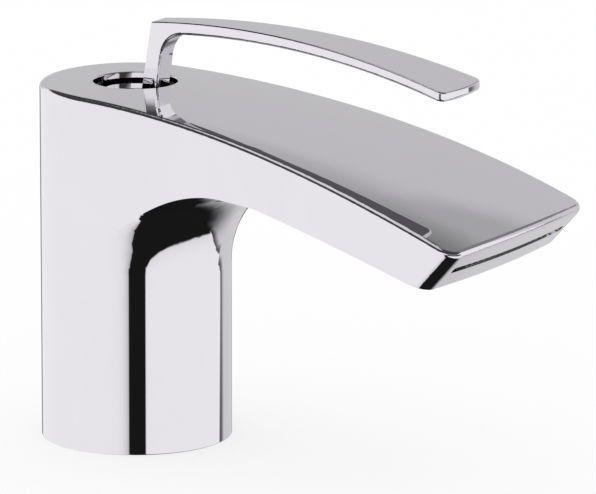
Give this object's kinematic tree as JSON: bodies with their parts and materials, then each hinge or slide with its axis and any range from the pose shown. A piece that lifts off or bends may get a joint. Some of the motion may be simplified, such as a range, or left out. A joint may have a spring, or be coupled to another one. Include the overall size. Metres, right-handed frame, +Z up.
{
  "type": "bidet mixer tap",
  "caption": "Chromed single-lever mixer tap: round column, broad arched spout with an undercut slot outlet, thin blade lever, and a ceramic disc cartridge inside.",
  "frame": {"origin": "on the column's axis, on the face that the tap stands on", "axes": "+X forward along the spout, +Z up; the part is symmetrical about the XZ plane"},
  "size_m": [0.1416, 0.07, 0.1125],
  "materials": {
    "chrome": "polished",
    "brass": "satin",
    "steel": "satin",
    "black_rubber": "matte",
    "grey_plastic": "satin",
    "white_plastic": "satin",
    "ceramic": "satin"
  },
  "bodies": {
    "body": {"body_casing": "chrome", "outlet_insert": "grey_plastic", "outlet_seal": "black_rubber", "base_gasket": "black_rubber", "core_ring_nut": "brass", "valve_core": "brass", "lower_core_seal": "black_rubber", "upper_core_seal": "black_rubber", "inlet_strainers": "steel", "cartridge_base": "white_plastic", "port_seals": "black_rubber", "locating_pegs": "steel", "fixed_ceramic_disc": "ceramic", "cartridge_housing": "white_plastic", "housing_gasket": "black_rubber"},
    "rotor": {"rotor": "white_plastic", "rotor_seal": "black_rubber", "pivot_pin": "steel", "glide_washer": "white_plastic"},
    "lever": {"handle_lever": "chrome", "handle_screw": "steel", "screw_cap": "chrome", "spindle": "brass"},
    "disc": {"disc_carrier": "white_plastic", "moving_ceramic_disc": "ceramic"}
  },
  "joints": [
    {"name": "swing", "type": "hinge", "parent": "body", "child": "rotor", "pos_m": [0, 0, 0.079], "axis": [0, 0, 1], "range_deg": [-45, 45]},
    {"name": "lift", "type": "hinge", "parent": "rotor", "child": "lever", "pos_m": [0, 0, 0.084], "axis": [0, -1, 0], "range_deg": [0, 20]},
    {"name": "disc_slide", "type": "slide", "parent": "rotor", "child": "disc", "axis": [1, 0, 0], "range_m": [0, 0.0051]}
  ],
  "couplings": [
    {"joint": "disc_slide", "follows": "lift", "m_per_rad": 0.0145}
  ]
}
